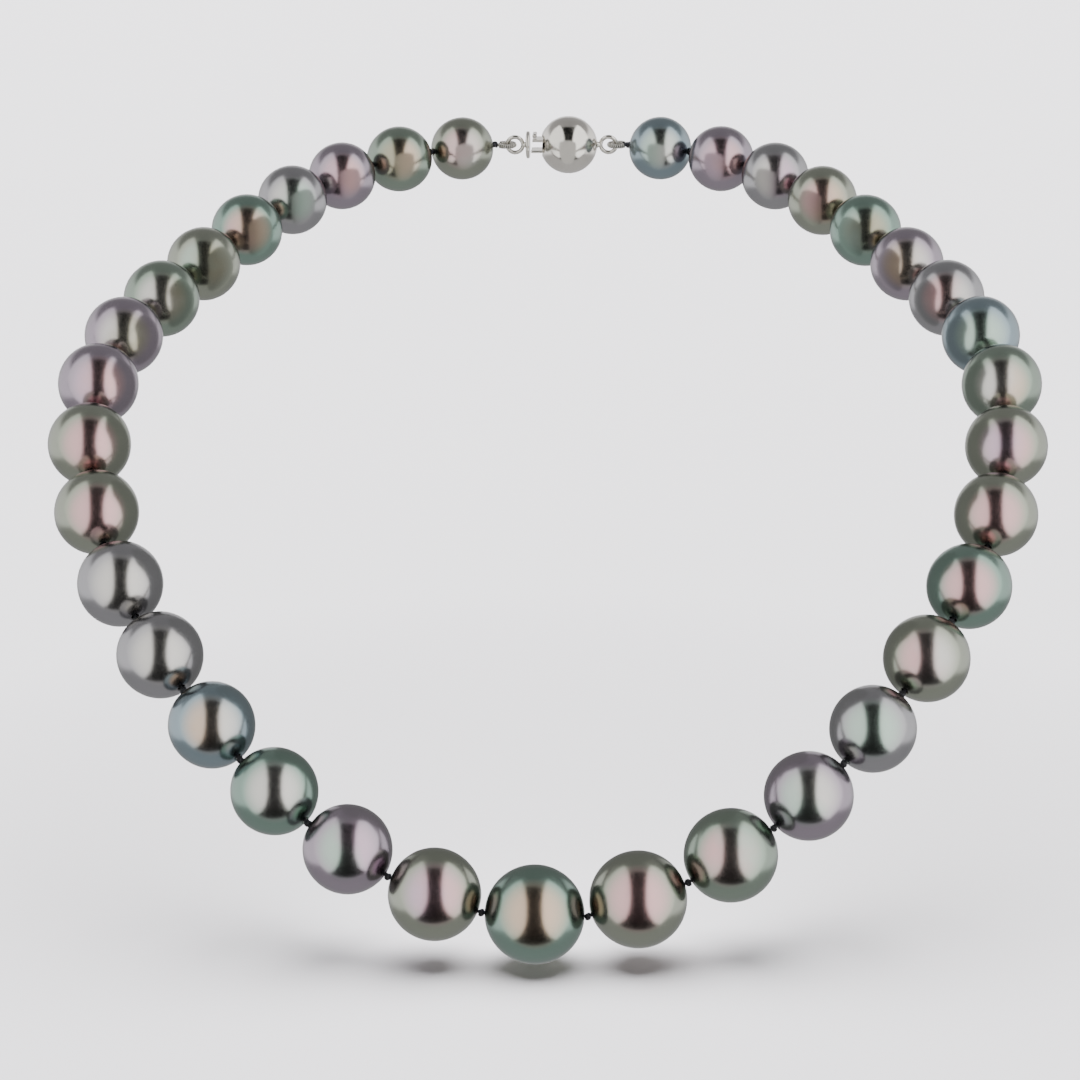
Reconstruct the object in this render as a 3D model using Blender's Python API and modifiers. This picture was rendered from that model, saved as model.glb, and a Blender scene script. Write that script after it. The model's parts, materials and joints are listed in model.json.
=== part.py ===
"""Graduated strand of dark pearls, knotted on silk and closed by a ball clasp.

The strand is modelled as it is worn: the front pearl hangs lowest, the two sides climb
over the shoulders and meet behind the neck at the clasp.

Frame: metres, +Z up, the front of the strand towards -Y. "left" is the -X side. The
origin is the middle of the neck opening, at the height of the clasp.
"""

import math

import bmesh
import bpy
import numpy as np
from mathutils import Vector

MM = 0.001

# Line that the string follows: right half, from the front pearl to the nape, in mm.
# The left half is its mirror image, and a smooth closed curve runs through both.
HALF_DRAPE_MM = (
    (0.0, -61.0, -65.5),
    (25.5, -55.5, -57.5),
    (44.0, -43.0, -42.5),
    (55.5, -25.5, -27.5),
    (57.5, -2.5, -14.0),
    (50.0, 18.5, -8.5),
    (38.0, 39.5, -3.0),
    (22.5, 57.0, 0.0),
    (0.0, 64.5, 0.5),
)
STRAND_SLIP = -0.0014  # how far the front pearl sits to the left of the middle

# Pearl diameters in mm, from beside the front pearl round to the clasp.
FRONT_PEARL_MM = 12.0
LEFT_PEARLS_MM = (11.2, 10.9, 10.7, 10.7, 10.7, 10.7, 10.6, 10.5, 10.4, 10.2,
                  10.0, 9.8, 9.6, 9.4, 9.2, 9.0, 8.7)
RIGHT_PEARLS_MM = (11.8, 11.4, 10.9, 10.7, 10.7, 10.6, 10.5, 10.4, 10.3, 10.1,
                   9.9, 9.7, 9.6, 9.4, 9.2, 9.0, 8.7)

PEARL_SIDES = 14  # facets round each pearl's drill hole
PEARL_ARCS = 7  # facets from one end of the drill hole to the other
BORE = 1.0 * MM  # drill hole diameter

THREAD = 0.45 * MM  # silk diameter
KNOT_SPACE = 0.9 * MM  # room between two pearls
KNOT_LENGTH = 0.54 * MM
KNOT_WIDTH = 1.0 * MM

# Ball clasp, laid out along its own axis: the tongue enters from its -x side.
BALL = 8.0 * MM
BALL_WALL = 0.5 * MM
MOUTH_WIDTH = 3.2 * MM
MOUTH_HEIGHT = 2.6 * MM
RING_RADIUS = 1.1 * MM  # to the middle of the wire
RING_WIRE = 0.55 * MM
GIMP_RADIUS = 1.05 * MM
GIMP_WIRE = 0.75 * MM
GIMP_MOUTH = math.radians(35)  # half the angle that the gimp leaves open at its knot
LINK_REACH = 1.2 * MM  # between the middles of a ring and the gimp that goes through it
GIMP_TO_KNOT = 1.6 * MM
SOLDER_GAP = 0.2 * MM
STRIP = 0.35 * MM  # thickness of the tongue's two strips
TONGUE_WIDTH = 2.4 * MM
TONGUE_TIP = 1.8 * MM
TONGUE_END = -5.2 * MM
TONGUE_TOP = -0.6 * MM
CAP = 0.5 * MM
CAP_RADIUS = 1.9 * MM
LEAF_WIDTH = 2.2 * MM
LEAF_END = -5.0 * MM
LEAF_HEIGHT = 0.6 * MM  # underside of the leaf at the mouth
CATCH_X = (-2.6 * MM, -2.0 * MM)
CATCH_TOP = 1.55 * MM
FOLD_HEIGHT = -0.2 * MM  # underside of the leaf at the fold
TAB_LENGTH = 0.6 * MM
TAB_WIDTH = 1.8 * MM
TAB_BASE = 1.15 * MM
TAB_TOP = 1.7 * MM

CAP_X = TONGUE_END - SOLDER_GAP - CAP / 2
RING_OUTER = RING_RADIUS + RING_WIRE / 2
TONGUE_RING_X = CAP_X - CAP / 2 - SOLDER_GAP - RING_OUTER
BALL_RING_X = BALL / 2 + SOLDER_GAP + RING_OUTER
KNOT_TO_RING = GIMP_TO_KNOT + LINK_REACH
CLASP_SPAN = BALL_RING_X - TONGUE_RING_X + 2 * KNOT_TO_RING

# Body colour of each kind of pearl, with its roughness and metallic value.
TONES = {
    "peacock": ("#4d5f5c", 0.22, 0.35),
    "rose": ("#75696a", 0.22, 0.35),
    "mauve": ("#6d6570", 0.22, 0.35),
    "silver": ("#7b7e7d", 0.22, 0.35),
    "olive": ("#666660", 0.22, 0.35),
    "blue": ("#596472", 0.22, 0.35),
}
FRONT_TONE = "peacock"
LEFT_TONES = ("rose", "mauve", "peacock", "blue", "silver", "silver", "rose", "rose", "mauve",
              "mauve", "olive", "rose", "peacock", "silver", "mauve", "olive", "rose")
RIGHT_TONES = ("rose", "olive", "mauve", "silver", "rose", "peacock", "rose", "rose", "olive",
               "blue", "silver", "mauve", "peacock", "rose", "silver", "mauve", "blue")


# ---------------------------------------------------------------- scene and materials

def clear_scene():
    for obj in list(bpy.data.objects):
        bpy.data.objects.remove(obj, do_unlink=True)


def new_collection(name):
    collection = bpy.data.collections.new(name)
    bpy.context.scene.collection.children.link(collection)
    return collection


def linear(hex_colour):
    """Linear RGBA of an sRGB hex colour."""
    channels = [int(hex_colour[i:i + 2], 16) / 255 for i in (1, 3, 5)]
    return [c / 12.92 if c <= 0.04045 else ((c + 0.055) / 1.055) ** 2.4 for c in channels] + [1.0]


def material(name, hex_colour, roughness, metallic):
    mat = bpy.data.materials.new(name)
    mat.use_nodes = True
    shader = mat.node_tree.nodes["Principled BSDF"]
    shader.inputs["Base Color"].default_value = linear(hex_colour)
    shader.inputs["Roughness"].default_value = roughness
    shader.inputs["Metallic"].default_value = metallic
    mat.diffuse_color = linear(hex_colour)
    return mat


def add_object(name, data, collection, mat=None):
    obj = bpy.data.objects.new(name, data)
    collection.objects.link(obj)
    if mat is not None:
        data.materials.append(mat)
    return obj


def add_empty(name, place, collection, parent=None, parent_place=Vector()):
    """An empty on a joint's axis, placed in the world under its parent."""
    empty = add_object(name, None, collection)
    empty.empty_display_size = 2 * MM
    empty.parent = parent
    empty.location = place - parent_place
    return empty


# ---------------------------------------------------------------- line of the string

def closed_curve(points, samples=200):
    """Dense points of the periodic cubic spline through points, equally far in parameter.

    The second derivatives m solve m[i-1] + 4 m[i] + m[i+1] = 6 (p[i-1] - 2 p[i] + p[i+1]).
    """
    points = np.asarray(points, float)
    count = len(points)
    ahead, behind = np.roll(points, -1, axis=0), np.roll(points, 1, axis=0)
    ring = np.eye(count)
    system = 4 * ring + np.roll(ring, 1, axis=1) + np.roll(ring, -1, axis=1)
    bends = np.linalg.solve(system, 6 * (ahead - 2 * points + behind))
    bends_ahead = np.roll(bends, -1, axis=0)
    u = np.linspace(0, 1, samples, endpoint=False)[None, :, None]
    p, q, m, n = (a[:, None, :] for a in (points, ahead, bends, bends_ahead))
    curve = ((1 - u) * p + u * q + ((1 - u) ** 3 - (1 - u)) * m / 6 + (u ** 3 - u) * n / 6)
    return curve.reshape(-1, 3)


class Line:
    """A closed curve read by the distance along it, from the front to either side."""

    def __init__(self, points):
        self.points = np.vstack([points, points, points[:1]])
        steps = np.linalg.norm(np.diff(self.points, axis=0), axis=1)
        self.distances = np.concatenate([[0], np.cumsum(steps)])
        self.distances -= self.distances[len(points)]

    def at(self, distance):
        return np.array([np.interp(distance, self.distances, self.points[:, i]) for i in range(3)])

    def step(self, start, chord):
        """The distance whose point lies a straight chord from the point at start."""
        origin, reach = self.at(start), start + chord
        for _ in range(6):
            miss = abs(chord) - np.linalg.norm(self.at(reach) - origin)
            reach += math.copysign(miss, chord)
        return reach


def knots_along(line):
    """Knot centres from the left end of the strand to its right end."""
    half = (FRONT_PEARL_MM * MM + KNOT_SPACE) / 2
    ends = []
    for side, sizes in ((-1, LEFT_PEARLS_MM), (1, RIGHT_PEARLS_MM)):
        reach = STRAND_SLIP + side * half
        knots = [line.at(reach)]
        for size in sizes:
            reach = line.step(reach, side * (size * MM + KNOT_SPACE))
            knots.append(line.at(reach))
        ends.append(knots)
    return np.array(ends[0][::-1] + ends[1])


def drape():
    """Knot centres on the drape line, scaled a little so that the strand meets its clasp."""
    half = np.array(HALF_DRAPE_MM) * MM
    outline = np.vstack([half, half[-2:0:-1] * (-1, 1, 1)])
    smallest, largest = 0.9, 1.1
    for _ in range(30):
        scale = (smallest + largest) / 2
        knots = knots_along(Line(closed_curve(outline * scale)))
        if np.linalg.norm(knots[-1] - knots[0]) > CLASP_SPAN:
            largest = scale
        else:
            smallest = scale
    return [Vector(k) for k in knots]


# ---------------------------------------------------------------- pearls and thread

def pearl_mesh(name, diameter):
    """Profile of a drilled pearl: its outer arc from top to bottom, closed by the bore's wall."""
    radius = diameter / 2
    edge = math.asin(BORE / 2 / radius)
    turns = np.linspace(edge, math.pi - edge, PEARL_ARCS + 1)
    profile = [(radius * math.sin(a), 0, radius * math.cos(a)) for a in turns]
    count = len(profile)
    mesh = bpy.data.meshes.new(name)
    mesh.from_pydata(profile, [(i, (i + 1) % count) for i in range(count)], [])
    return mesh


def add_pearl(name, inner_knot, outer_knot, diameter, tone, parent, collection):
    """A pearl drilled along the line between its two knots, hung on the inner one."""
    obj = add_object(name, pearl_mesh(name, diameter), collection, PEARL_MATERIALS[tone])
    turn = obj.modifiers.new("Turn", "SCREW")
    turn.steps = PEARL_SIDES
    turn.render_steps = PEARL_SIDES
    turn.use_merge_vertices = True
    turn.merge_threshold = 0.00001
    obj.parent = parent
    middle = (inner_knot + outer_knot) / 2
    obj.location = middle - inner_knot if parent else middle
    obj.rotation_mode = "QUATERNION"
    obj.rotation_quaternion = (outer_knot - inner_knot).to_track_quat("Z", "Y")
    return obj


def wire_curve(name, points, diameter, collection, mat, widths=None, cyclic=False):
    """A round wire along points; widths scale its diameter point by point."""
    curve = bpy.data.curves.new(name, "CURVE")
    curve.dimensions = "3D"
    curve.bevel_depth = diameter / 2
    curve.bevel_resolution = 2
    curve.use_fill_caps = True
    spline = curve.splines.new("POLY")
    spline.points.add(len(points) - 1)
    for i, place in enumerate(points):
        spline.points[i].co = (*place, 1)
        spline.points[i].radius = widths[i] if widths else 1
    spline.use_cyclic_u = cyclic
    return add_object(name, curve, collection, mat)


def add_thread(knots, collection, mat):
    """One silk thread, straight through each pearl and swollen into a knot between them."""
    ends = [knots[0] * 2 - knots[1]] + knots + [knots[-1] * 2 - knots[-2]]
    points, widths = [], []
    for before, knot, after in zip(ends, ends[1:], ends[2:]):
        arriving, leaving = (knot - before).normalized(), (after - knot).normalized()
        half = KNOT_LENGTH / 2
        points += [knot - arriving * half, knot - arriving * half * 0.55,
                   knot + leaving * half * 0.55, knot + leaving * half]
        widths += [1, KNOT_WIDTH / THREAD, KNOT_WIDTH / THREAD, 1]
    return wire_curve("silk_thread", points, THREAD, collection, mat, widths)


# ---------------------------------------------------------------- clasp

def ring_points(radius, start, stop, count, plane):
    """Points of an arc; plane names the two local axes that it lies in."""
    first, second = plane
    points = []
    for angle in np.linspace(start, stop, count):
        place = Vector()
        place[first] = radius * math.cos(angle)
        place[second] = radius * math.sin(angle)
        points.append(place)
    return points


def add_box(name, low, high, collection, mat=None):
    """A box between two corners, in its own coordinates."""
    mesh = bpy.data.meshes.new(name)
    shape = bmesh.new()
    bmesh.ops.create_cube(shape, size=1)
    low, high = Vector(low), Vector(high)
    bmesh.ops.scale(shape, vec=high - low, verts=shape.verts)
    bmesh.ops.translate(shape, vec=(low + high) / 2, verts=shape.verts)
    shape.to_mesh(mesh)
    shape.free()
    return add_object(name, mesh, collection, mat)


def add_ball_shape(name, diameter, sides, collection, mat=None):
    mesh = bpy.data.meshes.new(name)
    shape = bmesh.new()
    bmesh.ops.create_uvsphere(shape, u_segments=sides, v_segments=sides // 2, radius=diameter / 2)
    shape.to_mesh(mesh)
    shape.free()
    return add_object(name, mesh, collection, mat)


def cut(target, cutter):
    """Take the cutter out of the target; both share a parent."""
    cutter.display_type = "WIRE"
    cutter.hide_render = True
    boolean = target.modifiers.new("Cut " + cutter.name, "BOOLEAN")
    boolean.operation = "DIFFERENCE"
    boolean.solver = "EXACT"
    boolean.object = cutter


def soften(obj, width, segments=2):
    bevel = obj.modifiers.new("Soften", "BEVEL")
    bevel.width = width
    bevel.segments = segments
    bevel.limit_method = "ANGLE"


def smooth(obj, angle=35):
    obj.data.shade_smooth()
    obj.data.set_sharp_from_angle(angle=math.radians(angle))


def add_wire_ring(name, middle_x, collection, mat):
    """A closed ring in the clasp's upright plane, for the gimp to go through."""
    points = ring_points(RING_RADIUS, 0, 2 * math.pi, 21, (0, 2))[:-1]
    obj = wire_curve(name, points, RING_WIRE, collection, mat, cyclic=True)
    obj.data.bevel_resolution = 1
    obj.location = (middle_x, 0, 0)
    return obj


def add_gimp(name, middle_x, knot_side, collection, mat):
    """Bullion-wire loop, open towards its knot, flat in the clasp's level plane."""
    facing = 0 if knot_side > 0 else math.pi
    points = ring_points(GIMP_RADIUS, facing + GIMP_MOUTH, facing + 2 * math.pi - GIMP_MOUTH,
                         16, (0, 1))
    obj = wire_curve(name, points, GIMP_WIRE, collection, mat)
    obj.location = (middle_x, 0, 0)
    return obj


def add_ball(collection, cutters, mat):
    """Hollow ball with a mouth for the tongue in its -x side."""
    ball = add_ball_shape("clasp_ball", BALL, 24, collection, mat)
    hollow = add_ball_shape("ball_hollow", BALL - 2 * BALL_WALL, 20, cutters)
    mouth = add_box("ball_mouth", (-BALL, -MOUTH_WIDTH / 2, -MOUTH_HEIGHT / 2),
                    (-BALL / 4, MOUTH_WIDTH / 2, MOUTH_HEIGHT / 2), cutters)
    cut(ball, hollow)
    cut(ball, mouth)
    smooth(ball)
    return [ball, hollow, mouth]


def add_tongue(collection, mat):
    """Lower strip of the tongue, with its tip rounded in plan."""
    strip = add_box("tongue_strip", (TONGUE_END, -TONGUE_WIDTH / 2, TONGUE_TOP - STRIP),
                    (TONGUE_TIP, TONGUE_WIDTH / 2, TONGUE_TOP), collection, mat)
    soften(strip, 0.12 * MM)
    return strip


def add_cap(collection, mat):
    """Round plate that closes the ball's mouth and carries the tongue's ring."""
    mesh = bpy.data.meshes.new("tongue_cap")
    shape = bmesh.new()
    bmesh.ops.create_cone(shape, cap_ends=True, segments=24, radius1=CAP_RADIUS,
                          radius2=CAP_RADIUS, depth=CAP)
    shape.to_mesh(mesh)
    shape.free()
    cap = add_object("tongue_cap", mesh, collection, mat)
    cap.rotation_euler = (0, math.pi / 2, 0)
    cap.location = (CAP_X, 0, 0)
    soften(cap, 0.12 * MM)
    smooth(cap)
    return cap


def add_leaf(collection, mat):
    """Spring leaf seen from the side: it rises from the fold to the catch and out to the tab."""
    catch_back, catch_front = CATCH_X
    top = LEAF_HEIGHT + STRIP
    fold_top = FOLD_HEIGHT + STRIP
    outline = [
        (TONGUE_TIP, FOLD_HEIGHT), (TONGUE_TIP + STRIP / 2, FOLD_HEIGHT + STRIP / 2),
        (TONGUE_TIP, fold_top), (catch_front, top), (catch_back, CATCH_TOP), (catch_back, top),
        (LEAF_END, top), (LEAF_END, LEAF_HEIGHT), (catch_front, LEAF_HEIGHT),
    ]
    curve = bpy.data.curves.new("spring_leaf", "CURVE")
    curve.dimensions = "2D"
    curve.fill_mode = "BOTH"
    curve.extrude = LEAF_WIDTH / 2
    spline = curve.splines.new("POLY")
    spline.points.add(len(outline) - 1)
    for point, (along, up) in zip(spline.points, outline):
        point.co = (along - TONGUE_TIP, up - FOLD_HEIGHT, 0, 1)
    spline.use_cyclic_u = True
    leaf = add_object("spring_leaf", curve, collection, mat)
    leaf.rotation_euler = (math.pi / 2, 0, 0)
    return leaf


def add_tab(collection, mat):
    """Thumb tab on the leaf's free end."""
    tab = add_box("thumb_tab", (LEAF_END, -TAB_WIDTH / 2, TAB_BASE),
                  (LEAF_END + TAB_LENGTH, TAB_WIDTH / 2, TAB_TOP), collection, mat)
    soften(tab, 0.18 * MM, 3)
    return tab


def hang(objects, parent, offset=Vector()):
    """Parent objects to an empty that stands at offset in their coordinates."""
    for obj in objects:
        obj.parent = parent
        obj.location = Vector(obj.location) - offset


def add_clasp(knots, ends, collection, cutters, gold, gimp):
    """The clasp between the strand's end knots, on the empties of its two links."""
    across = (knots[-1] - knots[0]).normalized()
    turn = across.to_track_quat("X", "Z")
    start = Vector((TONGUE_RING_X - KNOT_TO_RING, 0, 0))

    def world(local):
        return knots[0] + turn @ (Vector(local) - start)

    def frame(name, local, parent, parent_place):
        empty = add_empty(name, world(local), collection, parent, parent_place)
        empty.rotation_mode = "QUATERNION"
        empty.rotation_quaternion = turn
        return empty

    left_end, left_place, right_end, right_place = ends
    tongue_gimp_x = TONGUE_RING_X - LINK_REACH
    ball_gimp_x = BALL_RING_X + LINK_REACH
    left_knot = frame("left_end_knot", start, left_end, left_place)
    hang([add_gimp("gimp_loop_left", tongue_gimp_x, -1, collection, gimp)], left_knot, start)
    stop = Vector((BALL_RING_X + KNOT_TO_RING, 0, 0))
    right_knot = frame("right_end_knot", stop, right_end, right_place)
    hang([add_gimp("gimp_loop_right", ball_gimp_x, 1, collection, gimp)], right_knot, stop)

    tongue_link = Vector(((TONGUE_RING_X + tongue_gimp_x) / 2, 0, 0))
    tongue = frame("tongue_link", tongue_link, left_end, left_place)
    hang([add_tongue(collection, gold), add_cap(collection, gold),
          add_wire_ring("tongue_ring", TONGUE_RING_X, collection, gold)], tongue, tongue_link)
    fold = Vector((TONGUE_TIP, 0, FOLD_HEIGHT))
    leaf_hinge = add_empty("tab_press", fold, collection, tongue, tongue_link)
    add_leaf(collection, gold).parent = leaf_hinge
    hang([add_tab(collection, gold)], leaf_hinge, fold)

    ball_link = Vector(((BALL_RING_X + ball_gimp_x) / 2, 0, 0))
    ball = frame("ball_link", ball_link, right_end, right_place)
    hang(add_ball(collection, cutters, gold)
         + [add_wire_ring("ball_ring", BALL_RING_X, collection, gold)], ball, ball_link)


# ---------------------------------------------------------------- the whole strand

def add_side(side, knots, sizes, tones, collection):
    """Pearls of one side, each hung on the empty at its inner knot.

    Returns the last empty and its place, for the clasp to hang on.
    """
    parent, parent_place = None, Vector()
    for i, (size, tone) in enumerate(zip(sizes, tones), 1):
        hinge = add_empty(f"knot_{side}_{i:02d}", knots[i - 1], collection, parent, parent_place)
        add_pearl(f"pearl_{side}_{i:02d}", knots[i - 1], knots[i], size * MM, tone, hinge,
                  collection)
        parent, parent_place = hinge, knots[i - 1]
    return parent, parent_place


def build():
    clear_scene()
    necklace = new_collection("pearl_necklace")
    cutters = new_collection("cutters")
    for tone, (colour, roughness, metallic) in TONES.items():
        PEARL_MATERIALS[tone] = material("nacre_" + tone, colour, roughness, metallic)
    silk = material("silk", "#23242c", 0.8, 0.0)
    gold = material("white_gold", "#c9c6c0", 0.2, 1.0)
    gimp = material("gimp_wire", "#bdbab4", 0.35, 1.0)

    knots = drape()
    middle = len(LEFT_PEARLS_MM)
    add_pearl("pearl_front", knots[middle], knots[middle + 1], FRONT_PEARL_MM * MM, FRONT_TONE,
              None, necklace)
    left_end = add_side("left", knots[middle::-1], LEFT_PEARLS_MM, LEFT_TONES, necklace)
    right_end = add_side("right", knots[middle + 1:], RIGHT_PEARLS_MM, RIGHT_TONES, necklace)
    add_thread(knots, necklace, silk)
    add_clasp(knots, (*left_end, *right_end), necklace, cutters, gold, gimp)


PEARL_MATERIALS = {}
build()
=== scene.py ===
import json
import math

import bpy
import numpy as np
from bpy.props import FloatProperty, FloatVectorProperty, IntProperty, PointerProperty
from mathutils import Matrix, Vector


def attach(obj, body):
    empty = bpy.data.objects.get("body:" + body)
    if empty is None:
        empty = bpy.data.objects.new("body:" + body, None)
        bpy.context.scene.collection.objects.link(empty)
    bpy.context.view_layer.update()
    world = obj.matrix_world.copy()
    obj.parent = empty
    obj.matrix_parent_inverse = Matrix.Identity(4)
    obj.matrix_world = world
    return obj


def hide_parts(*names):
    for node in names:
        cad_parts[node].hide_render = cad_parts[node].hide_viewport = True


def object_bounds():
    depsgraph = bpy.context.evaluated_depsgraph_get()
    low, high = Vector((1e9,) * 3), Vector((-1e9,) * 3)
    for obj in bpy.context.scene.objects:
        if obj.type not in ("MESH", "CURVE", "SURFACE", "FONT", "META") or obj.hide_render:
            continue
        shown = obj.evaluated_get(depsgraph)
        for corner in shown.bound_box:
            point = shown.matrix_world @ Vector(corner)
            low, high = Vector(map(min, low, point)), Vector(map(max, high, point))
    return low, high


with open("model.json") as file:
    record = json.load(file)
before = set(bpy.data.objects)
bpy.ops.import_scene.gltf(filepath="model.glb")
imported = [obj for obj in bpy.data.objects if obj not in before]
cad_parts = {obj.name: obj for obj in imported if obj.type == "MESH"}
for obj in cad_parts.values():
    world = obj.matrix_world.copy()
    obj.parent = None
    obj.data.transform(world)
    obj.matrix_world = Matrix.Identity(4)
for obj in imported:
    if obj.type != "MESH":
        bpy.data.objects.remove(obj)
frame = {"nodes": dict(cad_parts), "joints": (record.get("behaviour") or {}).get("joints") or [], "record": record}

bl_info = {
    "name": "Knotted Pearl Strand",
    "version": (1, 0, 0),
    "blender": (4, 5, 0),
    "location": "3D View > Sidebar > Pearls",
    "description": "Dark cultured pearls knotted on silk, with a ball clasp, over the fixed frame",
    "category": "Object",
}

MM = 0.001
CAD_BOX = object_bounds()
PER_SIDE = 17  # pearls on each side of the front one
TIGHT = 0.8  # thickness of the silk in a tight knot, as a share of the free thread's

FLOOR_RADIUS = 3.0
FLOOR_DROP = 0.4 * MM  # from the lowest pearl down to the floor
TENT_RADIUS = 0.7
SLEEVE_HALF_WIDTH = 33 * MM
SLEEVE_HALF_DEPTH = 37 * MM
SLEEVE_RISE = 10 * MM  # how far it stands above the top of the strand
SLEEVE_GLOW_RAMP = (12 * MM, 34 * MM)  # where the sleeve's painted glow starts and ends growing brighter, behind the middle

# The face tones on the left and the right of each pearl, outwards from the front one.
FRONT_FACE = ("cream", "cream")
LEFT_FACES = (
    ("lilac", "pink"), ("mint", "lilac"), ("silver", "silver"), ("cream", "silver"),
    ("silver", "silver"), ("silver", "silver"), ("pink", "pink"), ("pink", "pink"),
    ("lilac", "pink"), ("silver", "olive"), ("silver", "olive"), ("mint", "olive"),
    ("pink", "cream"), ("silver", "mint"), ("lilac", "pink"), ("olive", "cream"), ("pink", "silver"))
RIGHT_FACES = (
    ("pink", "pink"), ("pink", "mint"), ("mint", "silver"), ("mint", "mint"),
    ("pink", "silver"), ("pink", "pink"), ("pink", "pink"), ("lilac", "pink"),
    ("silver", "cream"), ("mint", "mint"), ("pink", "silver"), ("cream", "silver"),
    ("mint", "olive"), ("pink", "cream"), ("silver", "lilac"), ("lilac", "pink"), ("mint", "silver"))


def linear(hex_colour, alpha=1.0):
    """An sRGB hex colour as the linear colour that Blender's sockets hold."""
    share = np.array([int(hex_colour[i:i + 2], 16) / 255 for i in (1, 3, 5)])
    curve = np.where(share <= 0.04045, share / 12.92, ((share + 0.055) / 1.055) ** 2.4)
    return (*curve.tolist(), alpha)


def colour(name, hex_colour, description):
    return FloatVectorProperty(name=name, description=description, subtype="COLOR", size=4,
                               min=0, max=1, default=linear(hex_colour))


def length(name, default, description):
    return FloatProperty(name=name, description=description, unit="LENGTH", precision=5,
                         min=0, default=default)


# ---------------------------------------------------------------- settings

class PearlSettings(bpy.types.PropertyGroup):
    drill: length("Drill hole", 1.0 * MM, "Diameter of the hole through each pearl")
    lip: length("Lip", 0.12 * MM, "Radius of the worn edge where the hole meets the surface")
    unevenness: FloatProperty(name="Unevenness", subtype="FACTOR", min=0, max=0.1, default=0.006,
                              description="How far a pearl strays from round, as a share of its radius")
    around: IntProperty(name="Around", min=16, max=256, default=88,
                        description="Faces round the drill hole")
    along: IntProperty(name="Along", min=16, max=256, default=60,
                       description="Faces from one end of the hole to the other")


class NacreSettings(bpy.types.PropertyGroup):
    pink: colour("Pink", "#b69292", "Reflection of pearls with a pink overtone")
    lilac: colour("Lilac", "#a993a1", "Reflection of pearls with a lilac overtone")
    cream: colour("Cream", "#ad9884", "Reflection of pearls with a cream overtone")
    silver: colour("Silver", "#b0ada8", "Reflection of pearls with a silver overtone")
    mint: colour("Mint", "#94a59a", "Reflection of pearls with a mint overtone")
    olive: colour("Olive", "#8f8b76", "Reflection of pearls with an olive overtone")
    peacock_edge: colour("Peacock edge", "#70867b", "Overtone at the edge of peacock pearls")
    rose_edge: colour("Rose edge", "#85897c", "Overtone at the edge of rose pearls")
    mauve_edge: colour("Mauve edge", "#8c828c", "Overtone at the edge of mauve pearls")
    silver_edge: colour("Silver edge", "#8a898b", "Overtone at the edge of silver pearls")
    olive_edge: colour("Olive edge", "#7a877a", "Overtone at the edge of olive pearls")
    blue_edge: colour("Blue edge", "#78878d", "Overtone at the edge of blue pearls")


class SilkSettings(bpy.types.PropertyGroup):
    thread: length("Thread", 0.45 * MM, "Diameter of the twisted silk")
    pitch: length("Twist", 1.1 * MM, "Length of one turn of the silk's three plies")
    knot_width: length("Knot width", 1.0 * MM, "Width of a knot across the strand")
    knot_length: length("Knot length", 0.72 * MM, "Length of a knot along the strand")
    dye: colour("Dye", "#15151a", "Colour of the silk")


class ClaspSettings(bpy.types.PropertyGroup):
    ball: length("Ball", 8.0 * MM, "Diameter of the hollow ball")
    wall: length("Wall", 0.5 * MM, "Thickness of the ball's wall")
    mouth_width: length("Mouth width", 3.2 * MM, "Width of the slot that takes the tongue")
    mouth_height: length("Mouth height", 2.6 * MM, "Height of the slot that takes the tongue")
    cap_radius: length("Cap radius", 1.9 * MM, "Radius of the plate that closes the mouth")
    cap: length("Cap", 0.5 * MM, "Thickness of the plate that closes the mouth")
    cap_place: length("Cap place", 5.65 * MM, "Distance of the plate from the ball's middle")
    ring_radius: length("Ring radius", 1.1 * MM, "Radius of each ring, to the middle of its wire")
    ring_wire: length("Ring wire", 0.55 * MM, "Diameter of each ring's wire")
    ball_ring_place: length("Ball ring", 5.575 * MM, "Distance of the ball's ring from its middle")
    cap_ring_place: length("Cap ring", 7.475 * MM,
                           "Distance of the plate's ring from the ball's middle")
    link_reach: length("Link reach", 1.2 * MM, "Distance from each ring to its gimp loop")
    gimp_radius: length("Gimp radius", 1.05 * MM, "Radius of each gimp loop")
    gimp_wire: length("Gimp", 0.75 * MM, "Outer diameter of the coiled wire")
    gold: colour("White gold", "#cfcbc3", "Colour of the plated clasp")
    gimp: colour("Gimp wire", "#b9b6af", "Colour of the coiled wire")


class StudioSettings(bpy.types.PropertyGroup):
    board: colour("Board", "#e4e2e6", "Colour of the floor")
    target: FloatVectorProperty(name="Target", subtype="TRANSLATION", unit="LENGTH", precision=5,
                                default=(-1.4 * MM, 0, -37.3 * MM),
                                description="Point in the middle of the strand that the camera faces")
    azimuth: FloatProperty(name="Azimuth", unit="ROTATION", default=math.radians(-1.275),
                           description="Turn of the camera round the strand")
    elevation: FloatProperty(name="Elevation", unit="ROTATION", default=math.radians(17.51),
                             description="Angle of the camera above the strand")
    roll: FloatProperty(name="Roll", unit="ROTATION", default=math.radians(-0.865),
                        description="Lean of the camera")
    distance: length("Distance", 0.65, "Distance of the camera from the middle of the strand")
    lens: FloatProperty(name="Lens", unit="CAMERA", default=167.1,
                        description="Focal length on a 36 mm sensor, in millimetres")
    tent: FloatProperty(name="Tent", min=0, default=2.5,
                        description="Brightness of the tent's two walls")
    flag: FloatProperty(name="Flag", min=0, default=0.4,
                        description="Brightness of the sleeve inside the loop")
    top: FloatProperty(name="Top light", min=0, default=250.0,
                       description="Power of the top light, in watts")


# ---------------------------------------------------------------- the frame's own places

def joint_place(name):
    return np.array(next(j["pos_m"] for j in frame["joints"] if j["name"] == name))


def node_points(name):
    mesh = frame["nodes"][name].data
    points = np.empty(len(mesh.vertices) * 3)
    mesh.vertices.foreach_get("co", points)
    return points.reshape(-1, 3)


def slot_of(name):
    return next(s["material_slot"] for s in frame["record"]["subparts"] if s["node"] == name)


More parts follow.
